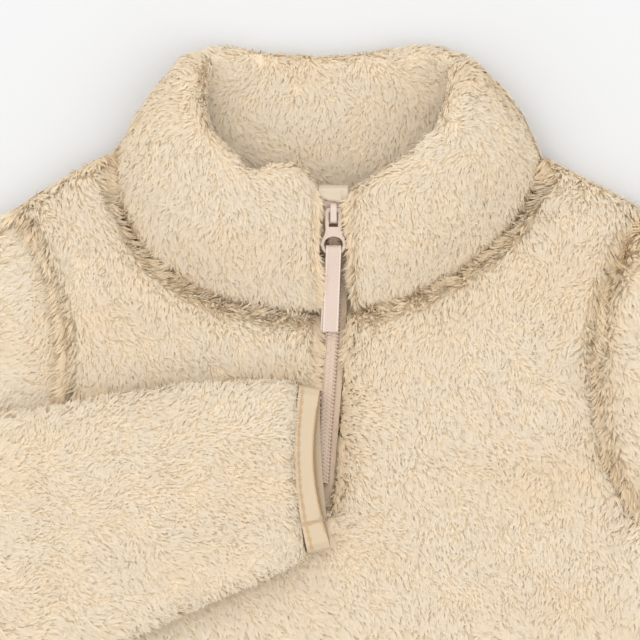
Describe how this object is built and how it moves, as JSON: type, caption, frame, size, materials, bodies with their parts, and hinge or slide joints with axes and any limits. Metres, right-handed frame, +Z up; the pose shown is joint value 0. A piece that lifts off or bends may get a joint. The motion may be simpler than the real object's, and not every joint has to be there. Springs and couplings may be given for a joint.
{
  "type": "half-zip fleece pullover",
  "caption": "Child's half-zip pullover in cream deep-pile fleece, laid flat, with a tall doubled collar and the right sleeve folded over the front",
  "frame": {"origin": "centre of the base, on the surface the garment lies on", "axes": "+X to the wearer's left, +Y from the hem to the collar, +Z up out of the front"},
  "size_m": [0.563, 0.4072, 0.0349],
  "materials": {
    "fleece": "deep soft pile, matt with a faint silky sheen along the locks",
    "elastic": "ribbed elastic binding, matt",
    "zip_tape": "woven tape, matt",
    "coil_nylon": "nylon coil, satin",
    "painted_metal": "cream paint, satin",
    "ribbon": "fine woven ribbon, matt",
    "smooth_cloth": "smooth knitted cloth, matt"
  },
  "bodies": {
    "garment": {"front_panel": "fleece", "back_panel": "fleece", "collar": "fleece", "sleeve_right": "fleece", "sleeve_left": "fleece", "cuff_binding_right": "elastic", "cuff_binding_left": "elastic", "zip_tape_left": "zip_tape", "zip_tape_right": "zip_tape", "zip_coil": "coil_nylon", "zip_slider": "painted_metal", "zip_garage": "smooth_cloth"},
    "pull": {"zip_puller": "painted_metal", "pull_tab": "ribbon"}
  },
  "joints": [
    {"name": "puller_hinge", "type": "hinge", "parent": "garment", "child": "pull", "pos_m": [-0.06468, 0.14041, 0.02453], "axis": [-1, 0, 0], "range_deg": [0, 140]}
  ]
}
